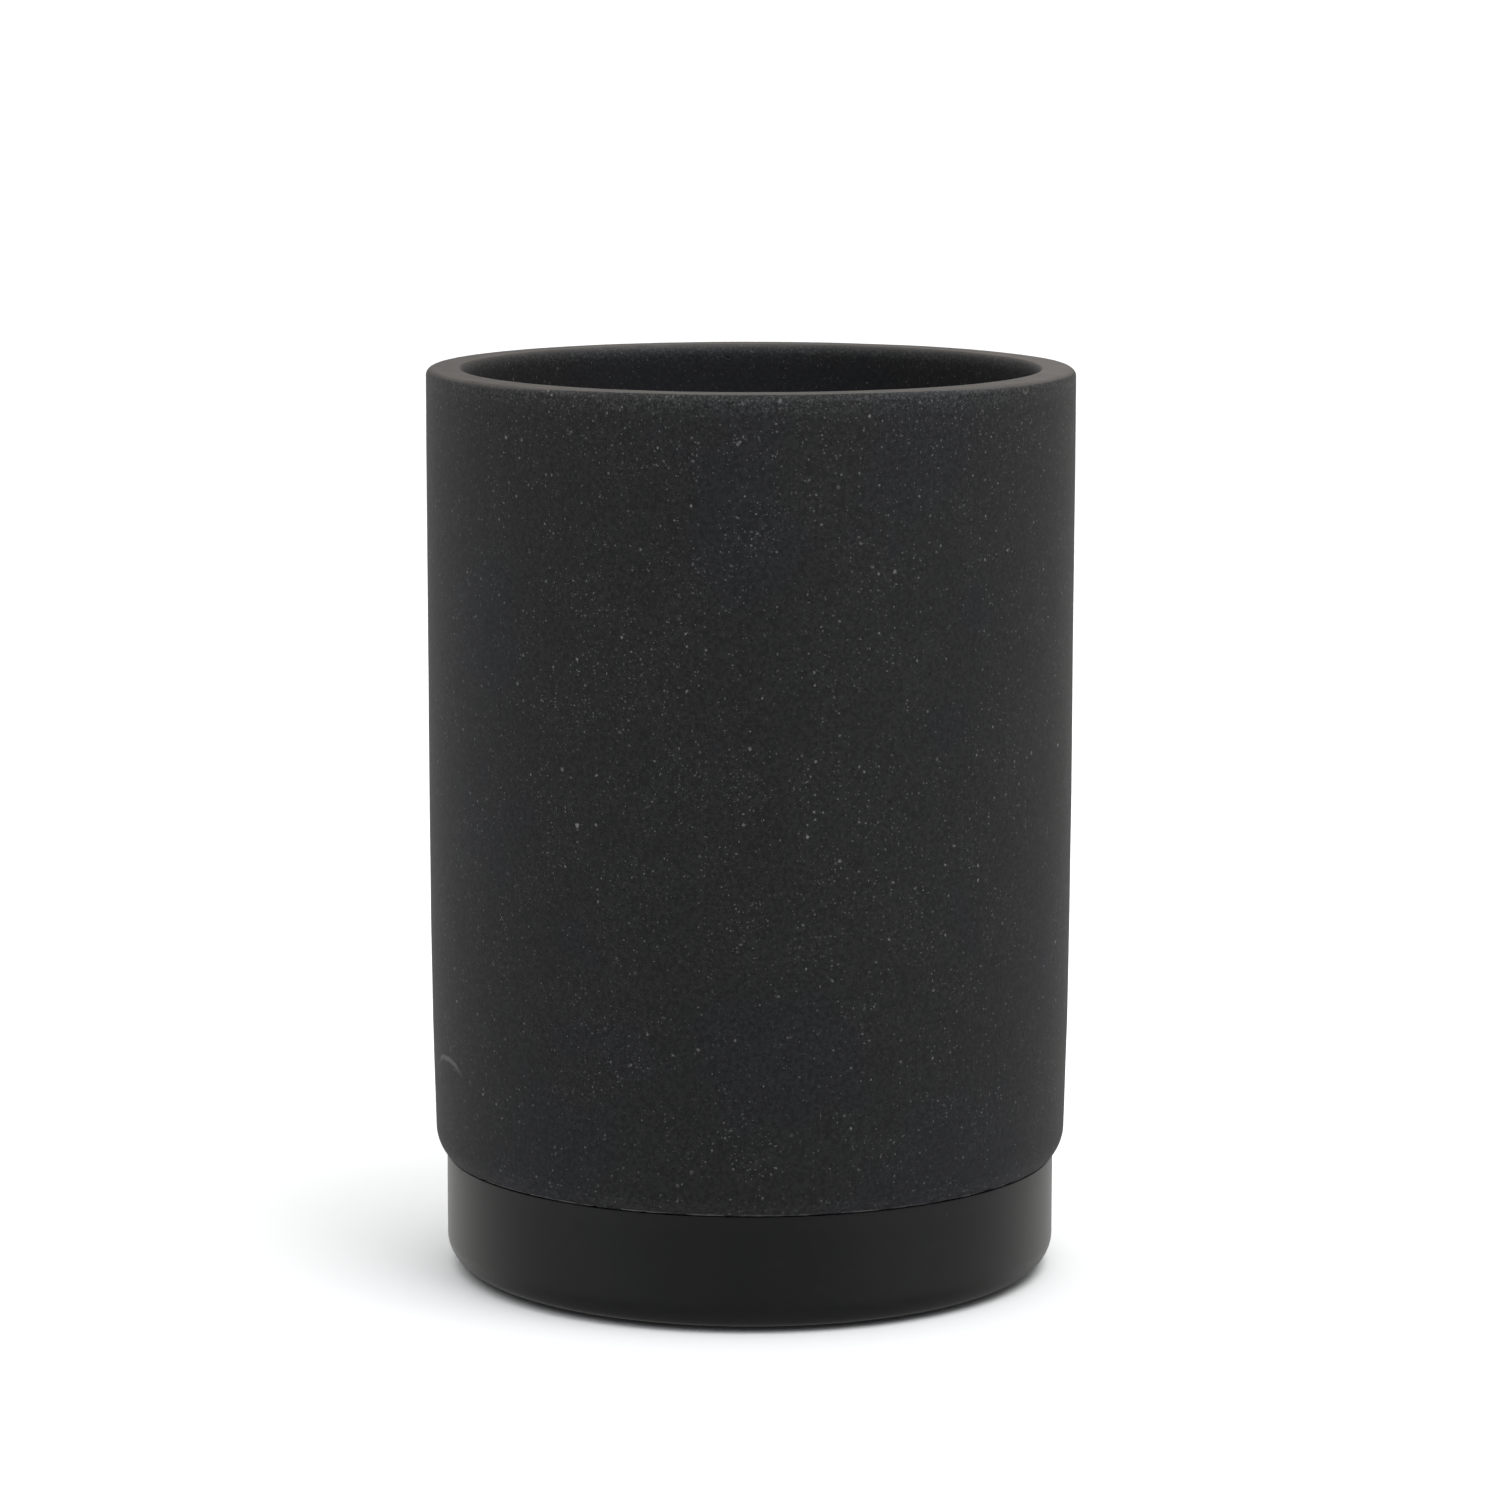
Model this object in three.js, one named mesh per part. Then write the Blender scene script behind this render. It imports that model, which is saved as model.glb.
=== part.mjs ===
// An empty candle jar: a thick-walled cast cup bonded to a set-in plinth, which stands on a non-slip pad.
// Millimetres, +Z up. The origin is the centre of the face that the jar stands on.
import * as THREE from 'three';

// Driving dimensions
const MOUTH_DIAMETER = 80;
const TOTAL_HEIGHT = 112.5;
const BASE_HEIGHT = 14.5;
const BASE_SETBACK = 2;
const WALL = 4.8;
const BODY_TAPER = 0.6;
const CAVITY_DRAFT = 0.6;
const FLOOR_THICKNESS = 4.2;
const CLEARANCE = 0.3;

// Edges and fillets
const RIM_OUTER_ROUNDING = 1.0;
const RIM_INNER_ROUNDING = 1.15;
const LIP_ROUNDING = 5;
const LIP_ROUNDED_HEIGHT = 3.4;
const FOOT_ROUNDING = 3;
const CAVITY_FILLET = 4;
const PAD_ROUNDING = 0.4;

// The locating boss on the plinth and the socket in the cup's underside
const BOSS_RADIUS = 29.6;
const SOCKET_DEPTH = 2.4;
const BOSS_SIDE_CLEARANCE = 0.4;

// The groove in the plinth's top that holds the adhesive
const GROOVE_INNER_RADIUS = 32;
const GROOVE_WIDTH = 3;
const GROOVE_DEPTH = 1.2;

// The pad and the recess that it sits in
const PAD_RADIUS = 31;
const PAD_THICKNESS = 1.7;
const PAD_STANDS_PROUD = 0.4;
const PAD_SIDE_CLEARANCE = 0.5;

// Values that follow
const MOUTH_RADIUS = MOUTH_DIAMETER / 2;
const BODY_FOOT_RADIUS = MOUTH_RADIUS - BODY_TAPER;
const CAVITY_MOUTH_RADIUS = MOUTH_RADIUS - WALL;
const CAVITY_FLOOR_RADIUS = CAVITY_MOUTH_RADIUS - CAVITY_DRAFT;
const BASE_RADIUS = MOUTH_RADIUS - BASE_SETBACK;
const BASE_TOP = BASE_HEIGHT - CLEARANCE;
const SOCKET_RADIUS = BOSS_RADIUS + BOSS_SIDE_CLEARANCE;
const SOCKET_TOP = BASE_HEIGHT + SOCKET_DEPTH;
const BOSS_TOP = SOCKET_TOP - CLEARANCE;
const CAVITY_FLOOR = SOCKET_TOP + FLOOR_THICKNESS;
const GROOVE_FLOOR = BASE_TOP - GROOVE_DEPTH;
const GROOVE_OUTER_RADIUS = GROOVE_INNER_RADIUS + GROOVE_WIDTH;
const RECESS_TOP = PAD_THICKNESS + CLEARANCE;
const RECESS_RADIUS = PAD_RADIUS + PAD_SIDE_CLEARANCE;

// How finely round shapes are cut: each rounding takes twice its divisions
const SIDES = 60;
const ROUNDING_DIVISIONS = 3;

const QUARTER = Math.PI / 2;

const speckledCasting = new THREE.MeshStandardMaterial({ color: 0x2b2b2c, roughness: 0.85, metalness: 0 });
const satinBlack = new THREE.MeshStandardMaterial({ color: 0x1c1c1c, roughness: 0.45, metalness: 0 });
const curedAdhesive = new THREE.MeshStandardMaterial({ color: 0x101010, roughness: 0.5, metalness: 0 });
const softPad = new THREE.MeshStandardMaterial({ color: 0x161616, roughness: 0.95, metalness: 0 });

// Turns an outline of radius and height about the vertical axis. The outline runs anticlockwise.
function turned(name, outline, material) {
  const geometry = new THREE.LatheGeometry(outline.getPoints(ROUNDING_DIVISIONS), SIDES);
  geometry.rotateX(QUARTER);
  const mesh = new THREE.Mesh(geometry, material);
  mesh.name = name;
  return mesh;
}

// The cast cup. Its outline goes along the underside, up the outer wall, over the rim and down the cavity.
// The rounding of its lower lip is cut short by the flat underside.
function jarBody() {
  const outline = new THREE.Path();
  outline.moveTo(0, SOCKET_TOP);
  outline.lineTo(SOCKET_RADIUS, SOCKET_TOP);
  outline.lineTo(SOCKET_RADIUS, BASE_HEIGHT);
  outline.absarc(
    BODY_FOOT_RADIUS - LIP_ROUNDING,
    BASE_HEIGHT + LIP_ROUNDED_HEIGHT,
    LIP_ROUNDING,
    -Math.asin(LIP_ROUNDED_HEIGHT / LIP_ROUNDING),
    0,
    false,
  );
  outline.absarc(
    MOUTH_RADIUS - RIM_OUTER_ROUNDING,
    TOTAL_HEIGHT - RIM_OUTER_ROUNDING,
    RIM_OUTER_ROUNDING,
    0,
    QUARTER,
    false,
  );
  outline.absarc(
    CAVITY_MOUTH_RADIUS + RIM_INNER_ROUNDING,
    TOTAL_HEIGHT - RIM_INNER_ROUNDING,
    RIM_INNER_ROUNDING,
    QUARTER,
    2 * QUARTER,
    false,
  );
  outline.absarc(
    CAVITY_FLOOR_RADIUS - CAVITY_FILLET,
    CAVITY_FLOOR + CAVITY_FILLET,
    CAVITY_FILLET,
    0,
    -QUARTER,
    true,
  );
  outline.lineTo(0, CAVITY_FLOOR);
  return turned('jar_body', outline, speckledCasting);
}

// The plinth: a recess for the pad below, a rounded foot edge, and a groove and a locating boss on top.
function base() {
  const outline = new THREE.Path();
  outline.moveTo(0, RECESS_TOP);
  outline.lineTo(RECESS_RADIUS, RECESS_TOP);
  outline.lineTo(RECESS_RADIUS, PAD_STANDS_PROUD);
  outline.absarc(
    BASE_RADIUS - FOOT_ROUNDING,
    PAD_STANDS_PROUD + FOOT_ROUNDING,
    FOOT_ROUNDING,
    -QUARTER,
    0,
    false,
  );
  outline.lineTo(BASE_RADIUS, BASE_TOP);
  outline.lineTo(GROOVE_OUTER_RADIUS, BASE_TOP);
  outline.lineTo(GROOVE_OUTER_RADIUS, GROOVE_FLOOR);
  outline.lineTo(GROOVE_INNER_RADIUS, GROOVE_FLOOR);
  outline.lineTo(GROOVE_INNER_RADIUS, BASE_TOP);
  outline.lineTo(BOSS_RADIUS, BASE_TOP);
  outline.lineTo(BOSS_RADIUS, BOSS_TOP);
  outline.lineTo(0, BOSS_TOP);
  return turned('base', outline, satinBlack);
}

// The adhesive bead. It lies in the plinth's groove, level with the plinth's top, right under the cup.
function bondRing() {
  const inner = GROOVE_INNER_RADIUS + CLEARANCE;
  const outer = GROOVE_OUTER_RADIUS - CLEARANCE;
  const bottom = GROOVE_FLOOR + CLEARANCE;
  const outline = new THREE.Path();
  outline.moveTo(inner, bottom);
  outline.lineTo(outer, bottom);
  outline.lineTo(outer, BASE_TOP);
  outline.lineTo(inner, BASE_TOP);
  outline.lineTo(inner, bottom);
  return turned('bond_ring', outline, curedAdhesive);
}

// The pad that the jar stands on, with a softened lower edge.
function footPad() {
  const outline = new THREE.Path();
  outline.moveTo(0, 0);
  outline.lineTo(PAD_RADIUS - PAD_ROUNDING, 0);
  outline.absarc(PAD_RADIUS - PAD_ROUNDING, PAD_ROUNDING, PAD_ROUNDING, -QUARTER, 0, false);
  outline.lineTo(PAD_RADIUS, PAD_THICKNESS);
  outline.lineTo(0, PAD_THICKNESS);
  return turned('foot_pad', outline, softPad);
}

const group = new THREE.Group();
group.add(jarBody(), base(), bondRing(), footPad());

export default group;
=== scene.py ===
"""An empty candle jar: a speckled cast cup on a satin black plinth, with its adhesive bead and its pad.

Metres, +Z up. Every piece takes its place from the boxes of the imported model's nodes."""
import math

import bpy
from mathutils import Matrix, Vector


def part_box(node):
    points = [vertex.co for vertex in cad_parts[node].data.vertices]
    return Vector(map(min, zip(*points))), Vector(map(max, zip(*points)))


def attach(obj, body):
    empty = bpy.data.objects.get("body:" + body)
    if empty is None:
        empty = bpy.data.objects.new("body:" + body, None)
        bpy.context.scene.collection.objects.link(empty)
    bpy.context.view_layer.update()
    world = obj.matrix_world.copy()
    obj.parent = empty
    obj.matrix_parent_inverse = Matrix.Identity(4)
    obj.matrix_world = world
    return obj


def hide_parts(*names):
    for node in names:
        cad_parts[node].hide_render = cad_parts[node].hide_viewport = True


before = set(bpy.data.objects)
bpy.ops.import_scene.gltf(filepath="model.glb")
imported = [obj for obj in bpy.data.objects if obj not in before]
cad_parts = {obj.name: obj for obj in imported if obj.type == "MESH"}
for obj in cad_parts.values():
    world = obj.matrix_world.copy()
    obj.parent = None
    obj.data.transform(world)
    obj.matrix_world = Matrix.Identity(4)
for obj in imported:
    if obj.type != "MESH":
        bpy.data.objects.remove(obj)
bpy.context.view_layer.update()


# The set. A white seamless table runs far back under a bright overhead cloth, and the room is dim where the
# camera stands. One high soft box on the right leaves a faint shadow on the left of the jar.

mm = 0.001
CAMERA_PLACE = Vector((-0.0002, -0.6602, 0.1673))
CAMERA_PITCH = 8.83
CAMERA_ROLL = -0.08
LENS = 128.94

TABLE_WIDTH = 60
TABLE_SHADE = 0.88
ROOM_SHADE = 0.13
BELOW_TABLE_SHARE = 0.35
SIDE_SHADE = 0.46
BACK_SHADE = 0.86
FAR_WALL_SHARE = 0.5
OVERHEAD_SHADE = 2.1
FRONT_SHARE = 0.8
COOL = (0.94, 0.965, 1.0, 1)
WARM = (1.0, 0.995, 0.98, 1)
SOFT_BOX_PLACE = Vector((0.30, -0.26, 0.84))
SOFT_BOX_WIDTH = 0.45
SOFT_BOX_WATTS = 3.2
WHITE = (1, 1, 1, 1)


class Wire:
    """One socket of a shader. Arithmetic on wires adds Math nodes, and node() adds any other kind."""

    def __init__(self, tree, socket=None):
        self.tree = tree
        self.socket = socket

    @staticmethod
    def find(sockets, name):
        """The live socket of that name or number."""
        live = [socket for socket in sockets if socket.enabled]
        if isinstance(name, int):
            return live[name]
        return next(socket for socket in live if socket.name == name)

    def node(self, kind, settings=(), inputs=(), outputs=(0,)):
        """Adds a node, sets it up, fills its sockets with values or wires and returns the outputs."""
        made = self.tree.nodes.new("ShaderNode" + kind)
        for name, value in dict(settings).items():
            setattr(made, name, value)
        for name, value in dict(inputs).items():
            socket = Wire.find(made.inputs, name)
            if isinstance(value, Wire):
                self.tree.links.new(value.socket, socket)
            else:
                socket.default_value = value
        wires = [Wire(self.tree, Wire.find(made.outputs, name)) for name in outputs if made.outputs]
        return wires[0] if len(wires) == 1 else wires

    def maths(self, operation, *values):
        return self.node("Math", {"operation": operation}, enumerate(values))

    def __add__(self, other):
        return self.maths("ADD", self, other)

    def __radd__(self, other):
        return self.maths("ADD", other, self)

    def __sub__(self, other):
        return self.maths("SUBTRACT", self, other)

    def __rsub__(self, other):
        return self.maths("SUBTRACT", other, self)

    def __mul__(self, other):
        return self.maths("MULTIPLY", self, other)

    def __rmul__(self, other):
        return self.maths("MULTIPLY", other, self)

    def __truediv__(self, other):
        return self.maths("DIVIDE", self, other)

    def __pow__(self, other):
        return self.maths("POWER", self, other)

    def rise(self, low, high):
        """0 below low, 1 above high, and a smooth slope between them."""
        settings = {"interpolation_type": "SMOOTHSTEP"}
        return self.node("MapRange", settings, {"Value": self, "From Min": low, "From Max": high})


camera_data = bpy.data.cameras.new("camera")
camera_data.lens = LENS
camera = bpy.data.objects.new("camera", camera_data)
camera.location = CAMERA_PLACE
camera.rotation_euler = (math.radians(90 - CAMERA_PITCH), math.radians(CAMERA_ROLL), 0)
bpy.context.scene.collection.objects.link(camera)
bpy.context.scene.camera = camera
bpy.context.scene.view_settings.view_transform = "Standard"

bpy.ops.object.select_all(action="DESELECT")
bpy.ops.mesh.primitive_plane_add(size=TABLE_WIDTH, location=(0, 0, -0.02 * mm))
table = bpy.context.object
table.name = "table"
table_white = bpy.data.materials.new("table white")
table_white.use_nodes = True
table_white.node_tree.nodes.clear()
start = Wire(table_white.node_tree)
paint = start.node("BsdfDiffuse", inputs={"Color": (TABLE_SHADE, TABLE_SHADE, TABLE_SHADE, 1)})
start.node("OutputMaterial", inputs={"Surface": paint})
table.data.materials.append(table_white)
table.visible_glossy = False

room = bpy.data.worlds.new("room")
room.use_nodes = True
room.node_tree.nodes.clear()
start = Wire(room.node_tree)
towards = start.node("TexCoord", outputs=("Generated",))
back, up = start.node("SeparateXYZ", inputs={0: towards}, outputs=("Y", "Z"))
shade = ROOM_SHADE + (SIDE_SHADE - ROOM_SHADE) * back.rise(-1, -0.45)
shade = shade + (BACK_SHADE - SIDE_SHADE) * back.rise(-0.2, 0.9)
shade = shade * (1 - (1 - FAR_WALL_SHARE) * up.rise(-0.05, 0.1))
shade = shade * (BELOW_TABLE_SHARE + (1 - BELOW_TABLE_SHARE) * up.rise(-0.75, -0.25))
cloth = OVERHEAD_SHADE * (FRONT_SHARE + (1 - FRONT_SHARE) * back.rise(-0.7, 0.3))
shade = shade + cloth * up.rise(0.35, 1)
tint = start.node("Mix", {"data_type": "RGBA"}, {"Factor": back.rise(-0.8, 0.6), "A": COOL, "B": WARM})
seen = start.node("LightPath", outputs=("Is Camera Ray",))
light = start.node("Background", inputs={"Color": tint, "Strength": shade})
backdrop = start.node("Background", inputs={"Color": WHITE})
sky = start.node("MixShader", inputs={0: seen, 1: light, 2: backdrop})
start.node("OutputWorld", inputs={"Surface": sky})
bpy.context.scene.world = room

soft_box_data = bpy.data.lights.new("soft_box", "AREA")
soft_box_data.size = SOFT_BOX_WIDTH
soft_box_data.energy = SOFT_BOX_WATTS
soft_box = bpy.data.objects.new("soft_box", soft_box_data)
soft_box.location = SOFT_BOX_PLACE
soft_box.rotation_euler = SOFT_BOX_PLACE.to_track_quat("Z", "Y").to_euler()
bpy.context.scene.collection.objects.link(soft_box)


# The cup. Dark mineral-filled resin, poured in a mould round a core and left matt, with pale grains of the
# filler showing all over it. Its rim was rubbed flat, and its lower lip overhangs the plinth.

cup_low, cup_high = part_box("jar_body")
TOP = cup_high.z
UNDERSIDE = cup_low.z
MOUTH_RADIUS = cup_high.x
TAPER = 0.6 * mm
WALL = 4.8 * mm
SOCKET_DEPTH = 2.4 * mm
FLOOR_THICKNESS = 4.2 * mm
FOOT_RADIUS = MOUTH_RADIUS - TAPER
CAVITY_RADIUS = MOUTH_RADIUS - WALL
CAVITY_FLOOR_RADIUS = CAVITY_RADIUS - TAPER
SOCKET_TOP = UNDERSIDE + SOCKET_DEPTH
SOCKET_RADIUS = 30 * mm
CAVITY_FLOOR = SOCKET_TOP + FLOOR_THICKNESS
LIP_ROUNDING = 5 * mm
LIP_HEIGHT = 3.4 * mm
LIP_CHAMFER = 0.12 * mm
RIM_OUTER_ROUNDING = 1.0 * mm
RIM_INNER_ROUNDING = 0.9 * mm
RIM_INNER_STRETCH = 2
RIM_EDGE_ANGLE = 72
CAVITY_FILLET = 4 * mm
LIP_CHAMFER_ANGLE = 2
LIP_STEPS = 14
RIM_OUTER_STEPS = 9
RIM_INNER_STEPS = 12
FILLET_STEPS = 10
FLAT_OUTER = MOUTH_RADIUS - 0.25 * mm
FLAT_INNER = CAVITY_RADIUS + 0.4 * mm
CHIP_BAND = 0.6 * mm
LONGEST_STEP = 3 * mm
TURNS = 480
WELD_DISTANCE = 0.002 * mm
CUP_CREASE = 15
CUP_RELIEF = 0.02 * mm
CUP_GLOSS = 0.4
SIDE_BOW = ((0.17, 0.27 * mm), (0.31, 0.13 * mm), (0.46, 0.05 * mm))
CRESCENT_PLACE = Vector((-36.3, -13.3, 22.4)) * mm
CRESCENT_RADIUS = 7.0 * mm
CRESCENT_FADE = (26.6 * mm, 28.6 * mm)
CURL_PLACE = Vector((32.8, -22.9, 111.9)) * mm
CURL_RADIUS = 0.5 * mm
CURL_FADE = (111.6 * mm, 112.1 * mm)
FRONT_BEGINS = (-38 * mm, -26 * mm)
# The side where painted light makes the rubbed rim paler.
PAINTED_LIGHT_SIDE = (22 * mm, 39 * mm)
WORN_SIDE = (-33 * mm, -26 * mm)

# Each kind of grain, and the pinholes: the spacing and the mean radius.
DUST = (0.40 * mm, 0.10 * mm)
SAND = (0.75 * mm, 0.15 * mm)
GRIT = (1.7 * mm, 0.22 * mm)
COARSE = (2.2 * mm, 0.40 * mm)
PINHOLES = (1.5 * mm, 0.18 * mm)

CHARCOAL = (0.0124, 0.0124, 0.0122, 1)
BLUISH_CHARCOAL = (0.0118, 0.0121, 0.0148, 1)
RUBBED_RIM = (0.0280, 0.0228, 0.0192, 1)
PALE_RIM = (0.0680, 0.0590, 0.0530, 1)
LIP_WEAR = (0.100, 0.100, 0.100, 1)
PALE_GRAIN = (0.30, 0.30, 0.29, 1)
PINHOLE = (0.006, 0.006, 0.006, 1)


def arc(centre, radius, begin, end, steps, stretch=1):
    """Points of a rounding in the section plane, made taller by stretch.

    Angles are in degrees, 0 straight out and 90 straight up."""
    points = []
    for step in range(steps + 1):
        angle = math.radians(begin + (end - begin) * step / steps)
        points.append((centre[0] + radius * math.cos(angle), centre[1] + stretch * radius * math.sin(angle)))
    return points


def turned(name, outline, longest, turns):
    """Draws half of a round piece's section point by point and spins it once round the axis.

    Outline points are (radius, height), and a straight stretch gets steps no longer than `longest`."""
    bpy.ops.object.select_all(action="DESELECT")
    bpy.ops.mesh.primitive_plane_add(size=mm)
    piece = bpy.context.object
    piece.name = name
    piece.data.name = name
    bpy.ops.object.mode_set(mode="EDIT")
    bpy.ops.mesh.select_all(action="SELECT")
    bpy.ops.mesh.merge(type="CENTER")
    bpy.ops.transform.translate(value=(outline[0][0], 0, outline[0][1]))
    for here, there in zip(outline, outline[1:]):
        steps = math.ceil(math.dist(here, there) / longest)
        step = ((there[0] - here[0]) / steps, 0, (there[1] - here[1]) / steps)
        for _ in range(steps):
            bpy.ops.mesh.extrude_region_move(TRANSFORM_OT_translate={"value": step})
    bpy.ops.mesh.select_all(action="SELECT")
    bpy.ops.mesh.spin(steps=turns, angle=math.tau, center=(0, 0, 0), axis=(0, 0, 1))
    bpy.ops.mesh.select_all(action="SELECT")
    bpy.ops.mesh.remove_doubles(threshold=WELD_DISTANCE)
    bpy.ops.mesh.normals_make_consistent(inside=False)
    bpy.ops.object.mode_set(mode="OBJECT")
    return piece


def unevenness(piece, name, patch, depth, bare=0.0, band=None):
    """Sinks the skin by up to depth in patches of that size, where the pattern is above bare.

    A band (lowest, highest) keeps it to the points at those heights."""
    texture = bpy.data.textures.new(name, "CLOUDS")
    texture.noise_scale = patch
    texture.noise_depth = 2
    texture.use_color_ramp = True
    texture.color_ramp.elements[0].position = bare
    texture.color_ramp.elements[0].color = (0, 0, 0, 1)
    texture.color_ramp.elements[1].color = WHITE
    modifier = piece.modifiers.new(name, "DISPLACE")
    modifier.texture = texture
    modifier.mid_level = 0
    modifier.strength = -depth
    if band:
        group = piece.vertex_groups.new(name=name)
        inside = [v.index for v in piece.data.vertices if band[0] <= v.co.z <= band[1]]
        group.add(inside, 1, "REPLACE")
        modifier.vertex_group = name
    bpy.context.view_layer.objects.active = piece
    bpy.ops.object.modifier_apply(modifier=name)
    piece.vertex_groups.clear()


def smooth(piece, angle):
    """Shades the piece smooth, with every edge sharper than the angle left crisp."""
    bpy.ops.object.select_all(action="DESELECT")
    piece.select_set(True)
    bpy.context.view_layer.objects.active = piece
    bpy.ops.object.shade_smooth_by_angle(angle=math.radians(angle))


def noise(place, patch, detail=2, output="Fac"):
    """Cloudy variation in patches of about that size."""
    inputs = {"Vector": place, "Scale": 1 / patch, "Detail": detail}
    return place.node("TexNoise", inputs=inputs, outputs=(output,))


def blended(mask, under, over):
    """One colour laid over another where the mask is 1."""
    inputs = {"Factor": mask, "A": under, "B": over}
    return mask.node("Mix", {"data_type": "RGBA"}, inputs)


def scaled(vector, factor):
    """A colour made lighter or darker, or a vector made longer or shorter."""
    return vector.node("VectorMath", {"operation": "SCALE"}, {0: vector, "Scale": factor})


def bent(place, patch, reach):
    """The place pushed by up to reach along each axis, so that what is drawn on it gets a ragged outline."""
    push = scaled(noise(place, patch, 1, "Color"), reach)
    return place.node("VectorMath", {"operation": "ADD"}, {0: place, 1: push})


def grains(place, spacing, radius, share):
    """Grains strewn through the casting, one in that share of its cells: where they are, and their shade."""
    settings = {"feature": "F1"}
    inputs = {"Vector": place, "Scale": 1 / spacing}
    distance, dice = place.node("TexVoronoi", settings, inputs, ("Distance", "Color"))
    present, shade, size = dice.node("SeparateColor", inputs={0: dice}, outputs=("Red", "Green", "Blue"))
    reach = distance * spacing / (radius * (0.5 + size))
    return (1 - reach.rise(0.55, 1)) * present.maths("LESS_THAN", present, share), shade


def scuff(place, centre, radius, width):
    """A thin ring-shaped mark of that radius round a point of the skin."""
    distance = place.node("VectorMath", {"operation": "DISTANCE"}, {0: place, 1: centre}, ("Value",))
    return 1 - place.maths("ABSOLUTE", distance - radius).rise(0.3 * width, width)


def finish(material, colour, roughness, height, depth, gloss):
    """The one shader of a finish, with its relief as a bump of that depth."""
    start = Wire(material.node_tree)
    bump = start.node("Bump", inputs={"Strength": 1, "Distance": depth, "Height": height})
    inputs = {"Base Color": colour, "Roughness": roughness, "Normal": bump, "Specular IOR Level": gloss}
    shader = start.node("BsdfPrincipled", inputs=inputs)
    start.node("OutputMaterial", inputs={"Surface": shader})


def blank(name):
    """An empty material and the start of its nodes: the place on the piece, in metres."""
    material = bpy.data.materials.new(name)
    material.use_nodes = True
    material.node_tree.nodes.clear()
    return material, Wire(material.node_tree).node("TexCoord", outputs=("Object",))


def speckled_casting():
    """Charcoal with faint blue patches, pale grains of four sizes, pinholes, a rubbed rim and a worn lip.

    Dust lies closest under the rim, and a crescent scuff and a small curled scratch mark the side.
    Painted light makes the rubbed rim paler on its right and lightens the lower lip, and painted shade
    darkens the front of the rim's outer rounding."""
    material, place = blank("speckled casting")
    across, back, up = place.node("SeparateXYZ", inputs={0: place}, outputs=("X", "Y", "Z"))
    below_rim = TOP - up
    radius = (across * across + back * back) ** 0.5
    inside = 1 - radius.rise(CAVITY_RADIUS + 0.3 * mm, CAVITY_RADIUS + 0.9 * mm)
    front = 1 - back.rise(*FRONT_BEGINS)
    jittered = radius + 0.25 * mm * (noise(place, 1.2 * mm) - 0.5)
    outermost = jittered + 0.5 * mm * front
    flat = jittered.rise(FLAT_INNER - 0.25 * mm, FLAT_INNER + 0.25 * mm)
    flat = flat * (1 - outermost.rise(FLAT_OUTER - 0.05 * mm, FLAT_OUTER + 0.05 * mm))
    skin = flat * (1 - below_rim.rise(0.4 * mm, 0.8 * mm))
    # Painted shade: on the front side, the rim's outer rounding below the rubbed flat is darkened in colour.
    edge = front * radius.rise(MOUTH_RADIUS - 2 * mm, MOUTH_RADIUS - 1 * mm)
    edge = edge * (1 - below_rim.rise(0.3 * mm, 0.8 * mm)) * (1 - skin)
    lip = 1 - (up - UNDERSIDE - 0.15 * mm * noise(place, 1.2 * mm)).rise(0.10 * mm, 0.26 * mm)
    # Painted light: the band of the lower lip, up to the top of its rounding, is lightened in colour.
    low = 1 - (up - UNDERSIDE).rise(0.2 * mm, LIP_HEIGHT)

    clusters = noise(place, 7 * mm, 3).rise(0.38, 0.68)
    crowded = 1 - (below_rim + 6 * mm * noise(place, 5 * mm)).rise(6 * mm, 13 * mm)
    richness = (0.4 + 1.1 * clusters + 1.1 * crowded) * (1 - 0.5 * inside)
    ragged = bent(place, 0.25 * mm, 0.35 * mm)
    dust, dust_shade = grains(ragged, *DUST, 0.75 * richness)
    sand, sand_shade = grains(ragged, *SAND, 0.45 * richness)
    grit, grit_shade = grains(ragged, *GRIT, 0.16 * richness)
    coarse, coarse_shade = grains(ragged, *COARSE, 0.25 * inside)
    border = 1 - below_rim.rise(1.2 * mm, 3.2 * mm)
    haze = 0.010 * clusters * noise(ragged, 0.6 * mm, 3).rise(0.45, 0.70)
    haze = haze + 0.11 * border * noise(ragged, 0.3 * mm, 3).rise(0.45, 0.70)
    specks = place.maths("MAXIMUM", haze, dust * (0.03 + 0.26 * dust_shade * dust_shade))
    specks = place.maths("MAXIMUM", specks, sand * (0.04 + 0.30 * sand_shade * sand_shade))
    specks = place.maths("MAXIMUM", specks, grit * (0.10 + 0.32 * grit_shade * grit_shade))
    specks = place.maths("MAXIMUM", specks, coarse * (0.02 + 0.05 * coarse_shade))
    bowed = bent(place, 4 * mm, 1.5 * mm)
    crescent = scuff(bowed, CRESCENT_PLACE, CRESCENT_RADIUS, 0.5 * mm) * up.rise(*CRESCENT_FADE)
    curl = scuff(ragged, CURL_PLACE, CURL_RADIUS, 0.2 * mm) * (1 - up.rise(*CURL_FADE))
    specks = place.maths("MAXIMUM", specks, 0.20 * crescent)
    specks = place.maths("MAXIMUM", specks, 0.18 * curl)
    specks = specks * (1 - 0.85 * skin)
    pits, _ = grains(ragged, *PINHOLES, 0.22)
    pits = pits * (1 - skin)

    patches = noise(place, 22 * mm).rise(0.45, 0.65)
    colour = blended(patches, CHARCOAL, BLUISH_CHARCOAL)
    colour = scaled(colour, 0.72 + 0.56 * noise(ragged, 0.5 * mm, 3).rise(0.35, 0.65))
    # Painted shade darkens the front of the rim's rounding, and painted light lightens the lower lip band.
    colour = scaled(colour, 1 - 0.4 * edge + 0.7 * low)
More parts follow.
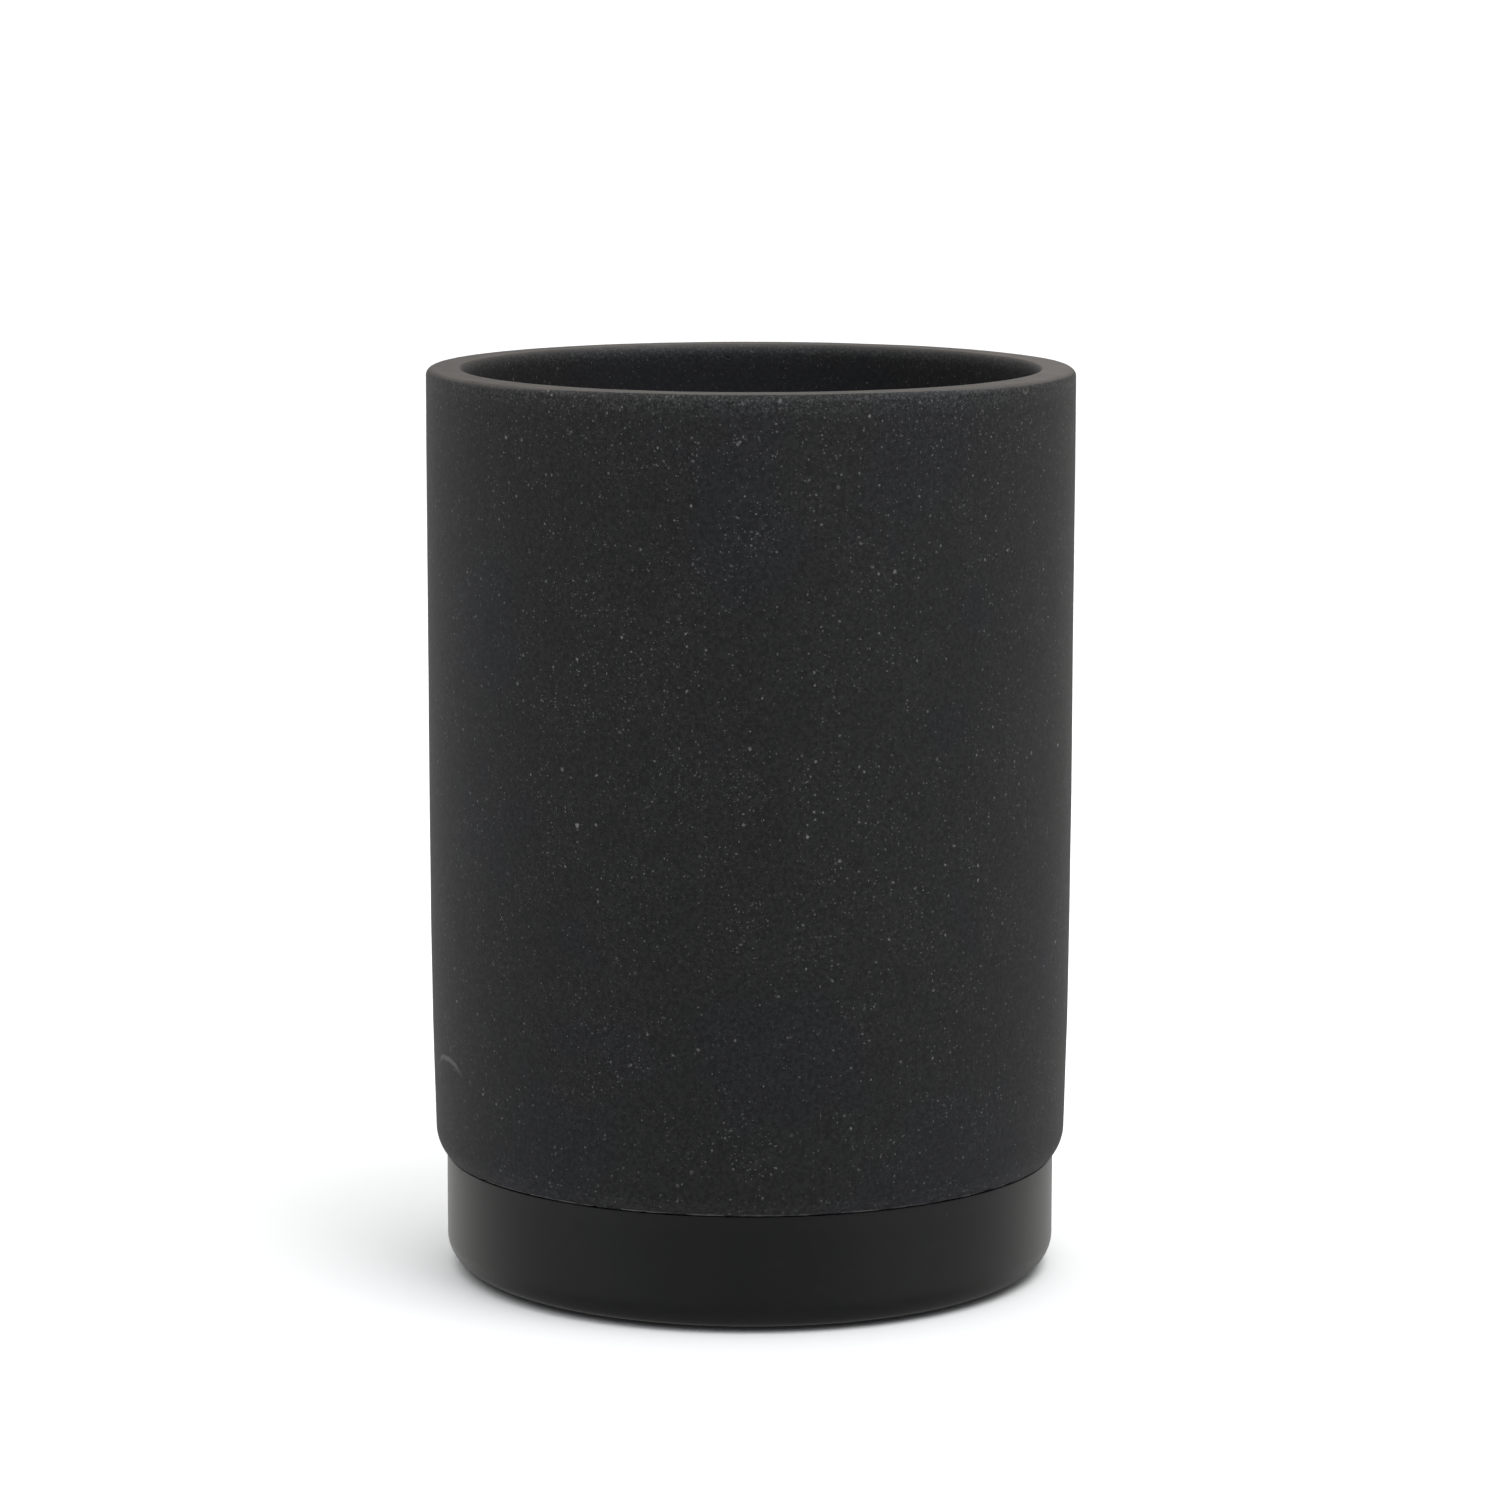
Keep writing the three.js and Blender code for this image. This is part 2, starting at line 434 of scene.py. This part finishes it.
    # The rubbed rim's tone varies at random with wear, and painted light makes its right side paler.
    wear_and_painted_light = 0.6 * across.rise(*PAINTED_LIGHT_SIDE) + 0.3 * noise(place, 3 * mm, 3).rise(0.3, 0.7)
    colour = blended(skin, colour, blended(wear_and_painted_light, RUBBED_RIM, PALE_RIM))
    worn = 0.7 - 0.7 * across.rise(*WORN_SIDE)
    worn = place.maths("MAXIMUM", worn, noise(place, 2.5 * mm, 3).rise(0.40, 0.62))
    colour = blended(lip * worn, colour, LIP_WEAR)
    colour = blended(specks, colour, PALE_GRAIN)
    colour = blended(pits, colour, PINHOLE)

    roughness = 0.57 + 0.10 * noise(place, 1.1 * mm, 3) + 0.3 * edge - 0.2 * specks
    height = 0.6 * noise(place, 0.35 * mm, 3) + 0.6 * specks * (1 - skin) - 1.5 * pits
    finish(material, colour, roughness, height, CUP_RELIEF, CUP_GLOSS)
    return material


def unrolled(piece, outline, hidden_height):
    """Gives a turned piece a flat map: round the axis across, and along the section up.

    Stretches of the section below hidden_height take a third of their length, as nobody sees them."""
    along = [0.0]
    for here, there in zip(outline, outline[1:]):
        share = 1 / 3 if max(here[1], there[1]) <= hidden_height else 1
        along.append(along[-1] + share * math.dist(here, there))
    rows = list(zip(outline, along))

    def share_of_way(place):
        """How far along the section a point on it lies, from 0 to 1."""
        spot = (math.hypot(place.x, place.y), place.z)
        best = None
        for (here, begin), (there, end) in zip(rows, rows[1:]):
            length = math.dist(here, there)
            ahead = ((spot[0] - here[0]) * (there[0] - here[0]) + (spot[1] - here[1]) * (there[1] - here[1]))
            ahead = min(max(ahead / length**2, 0), 1)
            foot = (here[0] + ahead * (there[0] - here[0]), here[1] + ahead * (there[1] - here[1]))
            found = (math.dist(spot, foot), begin + ahead * (end - begin))
            best = min(best, found) if best else found
        return best[1] / along[-1]

    known = {}
    layer = piece.data.uv_layers.new(name="OFBake")
    for face in piece.data.polygons:
        middle = math.atan2(face.center.y, face.center.x)
        for corner in face.loop_indices:
            place = piece.data.vertices[piece.data.loops[corner].vertex_index].co
            key = (round(math.hypot(place.x, place.y), 6), round(place.z, 6))
            if key not in known:
                known[key] = share_of_way(place)
            turn = 0
            if key[0] > 0:
                turn = (math.atan2(place.y, place.x) - middle + math.pi) % math.tau - math.pi
            layer.data[corner].uv = ((middle + turn) / math.tau + 0.5, known[key])


outline = [(0, SOCKET_TOP), (SOCKET_RADIUS, SOCKET_TOP), (SOCKET_RADIUS, UNDERSIDE)]
lip_centre = (FOOT_RADIUS - LIP_ROUNDING, UNDERSIDE + LIP_HEIGHT)
lip_begin = -math.degrees(math.asin(LIP_HEIGHT / LIP_ROUNDING))
lip_edge = LIP_ROUNDING * math.cos(math.radians(lip_begin))
outline += [(lip_centre[0] + lip_edge - LIP_CHAMFER, UNDERSIDE)]
outline += arc(lip_centre, LIP_ROUNDING, lip_begin + LIP_CHAMFER_ANGLE, 0, LIP_STEPS)
for share, inset in SIDE_BOW:
    outline += [(MOUTH_RADIUS - inset, UNDERSIDE + share * (TOP - UNDERSIDE))]
edge_rise = math.sin(math.radians(RIM_EDGE_ANGLE))
rim_centre = (MOUTH_RADIUS - RIM_OUTER_ROUNDING, TOP - RIM_OUTER_ROUNDING * edge_rise)
outline += arc(rim_centre, RIM_OUTER_ROUNDING, 0, RIM_EDGE_ANGLE, RIM_OUTER_STEPS)
rim_centre = (CAVITY_RADIUS + RIM_INNER_ROUNDING, TOP - RIM_INNER_STRETCH * RIM_INNER_ROUNDING * edge_rise)
inner_begin = 180 - RIM_EDGE_ANGLE
outline += arc(rim_centre, RIM_INNER_ROUNDING, inner_begin, 180, RIM_INNER_STEPS, RIM_INNER_STRETCH)
fillet_centre = (CAVITY_FLOOR_RADIUS - CAVITY_FILLET, CAVITY_FLOOR + CAVITY_FILLET)
outline += arc(fillet_centre, CAVITY_FILLET, 0, -90, FILLET_STEPS)
outline += [(0, CAVITY_FLOOR)]

cup = turned("cast_cup", outline, LONGEST_STEP, TURNS)
unrolled(cup, outline, SOCKET_TOP)
unevenness(cup, "hand_poured", 18 * mm, 0.08 * mm)
unevenness(cup, "rubbed", 4 * mm, 0.025 * mm)
unevenness(cup, "chipped", 1.6 * mm, 0.25 * mm, 0.62, (UNDERSIDE, UNDERSIDE + CHIP_BAND))
smooth(cup, CUP_CREASE)
cup.data.materials.append(speckled_casting())
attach(cup, "root")
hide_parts("jar_body")


# The plinth. Satin black plastic, turned smooth, with a rounded foot edge and a recess for the pad below. On
# top it has a boss that centres the cup and a groove that holds the adhesive.

plinth_low, plinth_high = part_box("base")
bead_low, bead_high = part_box("bond_ring")
_, pad_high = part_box("foot_pad")
PLINTH_RADIUS = plinth_high.x
FOOT_DROP = 0.18 * mm
JOINT_GAP = 0.05 * mm
CAD_GAP = 0.3 * mm
GROOVE_WIDTH = 3 * mm
PLINTH_FOOT = plinth_low.z - FOOT_DROP
PLINTH_TOP = UNDERSIDE - JOINT_GAP
FOOT_ROUNDING = 3.8 * mm
TOP_ROUNDING = 0.14 * mm
RECESS_RADIUS = pad_high.x + 0.5 * mm
RECESS_TOP = pad_high.z + CAD_GAP
BOSS_RADIUS = 29.6 * mm
BOSS_TOP = plinth_high.z
FOOT_STEPS = 14
TOP_STEPS = 4
PLINTH_CREASE = 35
PLINTH_RELIEF = 0.006 * mm
PLINTH_GLOSS = 0.33
GROOVE_OUTER_RADIUS = bead_high.x + CAD_GAP
GROOVE_INNER_RADIUS = GROOVE_OUTER_RADIUS - GROOVE_WIDTH
GROOVE_FLOOR = bead_low.z - CAD_GAP

SATIN_BLACK = (0.0124, 0.0124, 0.0124, 1)
WARM_BLACK = (0.0140, 0.0128, 0.0122, 1)
DUST_GREY = (0.12, 0.115, 0.105, 1)

SETTLED_DUST = (3.4 * mm, 0.13 * mm)
FINE_MOTES = (1.1 * mm, 0.07 * mm)


def satin_black():
    """Black plastic with the soft shine of a fine mould, faint scuffs, a little dust and a duller foot.

    Its top band, in the shade of the cup's lip, is lifted with painted light.
    """
    material, place = blank("satin black plastic")
    up = place.node("SeparateXYZ", inputs={0: place}, outputs=("Z",))
    foot = 1 - (up - PLINTH_FOOT).rise(0.8 * mm, 3.2 * mm)
    # Painted light: the top 3 mm of the plinth, in the shade under the cup's lip, is lightened.
    high = (up - PLINTH_TOP).rise(-3 * mm, 0)
    clouds = noise(place, 9 * mm, 3)
    ragged = bent(place, 0.5 * mm, 0.4 * mm)
    dust, dust_shade = grains(ragged, *SETTLED_DUST, 0.16)
    motes, mote_shade = grains(ragged, *FINE_MOTES, 0.05)
    dust = place.maths("MAXIMUM", dust * dust_shade, 0.5 * motes * mote_shade)
    streaks = place.node("Mapping", inputs={0: ragged, "Scale": (1, 1, 6)})
    scuffs = noise(streaks, 5 * mm, 4).rise(0.62, 0.80)

    colour = blended(clouds.rise(0.4, 0.7), SATIN_BLACK, WARM_BLACK)
    # Painted light lifts the plinth's top band under the lip.
    colour = scaled(colour, 0.9 + 0.2 * noise(place, 0.5 * mm, 2) + 0.3 * high)
    colour = blended(0.05 * scuffs + 0.01 * foot, colour, DUST_GREY)
    colour = blended(0.9 * dust, colour, DUST_GREY)

    roughness = 0.33 + 0.05 * clouds + 0.10 * scuffs + 0.15 * foot + 0.3 * dust
    height = noise(place, 1.4 * mm) + 0.15 * noise(place, 0.25 * mm) + dust
    finish(material, colour, roughness, height, PLINTH_RELIEF, PLINTH_GLOSS)
    return material


outline = [(0, RECESS_TOP), (RECESS_RADIUS, RECESS_TOP), (RECESS_RADIUS, PLINTH_FOOT)]
foot_centre = (PLINTH_RADIUS - FOOT_ROUNDING, PLINTH_FOOT + FOOT_ROUNDING)
outline += arc(foot_centre, FOOT_ROUNDING, -90, 0, FOOT_STEPS)
top_centre = (PLINTH_RADIUS - TOP_ROUNDING, PLINTH_TOP - TOP_ROUNDING)
outline += arc(top_centre, TOP_ROUNDING, 0, 90, TOP_STEPS)
outline += [(GROOVE_OUTER_RADIUS, PLINTH_TOP), (GROOVE_OUTER_RADIUS, GROOVE_FLOOR)]
outline += [(GROOVE_INNER_RADIUS, GROOVE_FLOOR), (GROOVE_INNER_RADIUS, PLINTH_TOP)]
outline += [(BOSS_RADIUS, PLINTH_TOP), (BOSS_RADIUS, BOSS_TOP), (0, BOSS_TOP)]

plinth = turned("plinth", outline, LONGEST_STEP, TURNS)
unrolled(plinth, outline, RECESS_TOP)
unevenness(plinth, "mould_wave", 14 * mm, 0.03 * mm)
smooth(plinth, PLINTH_CREASE)
plinth.data.materials.append(satin_black())
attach(plinth, "root")
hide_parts("base")


# The adhesive. A bead of black glue, squeezed out in the plinth's groove until it met the cup, and cured
# with a slightly lumpy, glossy skin.

BEAD_GAP = 0.05 * mm
BEAD_ROUNDING = 0.5 * mm
BEAD_STEPS = 4
LONGEST_BEAD_STEP = 0.5 * mm
BEAD_CREASE = 60
BEAD_RELIEF = 0.03 * mm
BEAD_GLOSS = 0.5
GLUE_BLACK = (0.006, 0.006, 0.006, 1)
GLUE_HAZE = (0.012, 0.012, 0.013, 1)
BUBBLES = (0.9 * mm, 0.15 * mm)


def cured_adhesive():
    """Glossy black rubber with faint haze and trapped bubbles."""
    material, place = blank("cured adhesive")
    bubbles, _ = grains(place, *BUBBLES, 0.2)
    haze = noise(place, 2 * mm, 3)
    colour = blended(haze, GLUE_BLACK, GLUE_HAZE)
    roughness = 0.3 + 0.25 * haze + 0.2 * bubbles
    height = haze - bubbles
    finish(material, colour, roughness, height, BEAD_RELIEF, BEAD_GLOSS)
    return material


bead_inner = GROOVE_INNER_RADIUS + BEAD_GAP
bead_outer = GROOVE_OUTER_RADIUS - BEAD_GAP
bead_bottom = GROOVE_FLOOR + BEAD_GAP
bead_top = UNDERSIDE - 0.01 * mm
outline = arc((bead_inner + BEAD_ROUNDING, bead_bottom + BEAD_ROUNDING), BEAD_ROUNDING, 180, 270, BEAD_STEPS)
outline += arc((bead_outer - BEAD_ROUNDING, bead_bottom + BEAD_ROUNDING), BEAD_ROUNDING, -90, 0, BEAD_STEPS)
outline += arc((bead_outer - BEAD_ROUNDING, bead_top - BEAD_ROUNDING), BEAD_ROUNDING, 0, 90, BEAD_STEPS)
outline += arc((bead_inner + BEAD_ROUNDING, bead_top - BEAD_ROUNDING), BEAD_ROUNDING, 90, 180, BEAD_STEPS)
outline += [outline[0]]

bead = turned("adhesive_bead", outline, LONGEST_BEAD_STEP, TURNS)
unevenness(bead, "squeezed", 3 * mm, 0.15 * mm)
smooth(bead, BEAD_CREASE)
bead.data.materials.append(cured_adhesive())
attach(bead, "root")
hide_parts("bond_ring")


# The pad. A disc die-cut from a sheet of black foam rubber, stuck in the plinth's recess. It stands proud of
# the foot and keeps the jar from sliding.

PAD_ROUNDING = 0.4 * mm
PAD_TOP = RECESS_TOP - 0.02 * mm
LONGEST_PAD_STEP = 2 * mm
PAD_TURNS = 240
PAD_STEPS = 4
PAD_CREASE = 35
PAD_RELIEF = 0.03 * mm
PAD_GLOSS = 0.3
CELL_SIZE = 0.4 * mm
FOAM_BLACK = (0.0085, 0.0085, 0.0085, 1)
FOAM_GREY = (0.016, 0.016, 0.016, 1)


def foam_rubber():
    """Dull black foam with fine open cells."""
    material, place = blank("foam rubber")
    inputs = {"Vector": place, "Scale": 1 / CELL_SIZE}
    cells = place.node("TexVoronoi", {"feature": "DISTANCE_TO_EDGE"}, inputs)
    walls = 1 - cells.rise(0, 0.25)
    clouds = noise(place, 6 * mm, 3)
    colour = blended(0.6 * walls + 0.4 * clouds, FOAM_BLACK, FOAM_GREY)
    roughness = 0.85 + 0.1 * clouds
    finish(material, colour, roughness, walls, PAD_RELIEF, PAD_GLOSS)
    return material


outline = [(0, 0)]
outline += arc((pad_high.x - PAD_ROUNDING, PAD_ROUNDING), PAD_ROUNDING, -90, 0, PAD_STEPS)
outline += [(pad_high.x, PAD_TOP), (0, PAD_TOP)]

pad = turned("pad", outline, LONGEST_PAD_STEP, PAD_TURNS)
unevenness(pad, "foam", 5 * mm, 0.04 * mm)
smooth(pad, PAD_CREASE)
pad.data.materials.append(foam_rubber())
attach(pad, "root")
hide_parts("foot_pad")
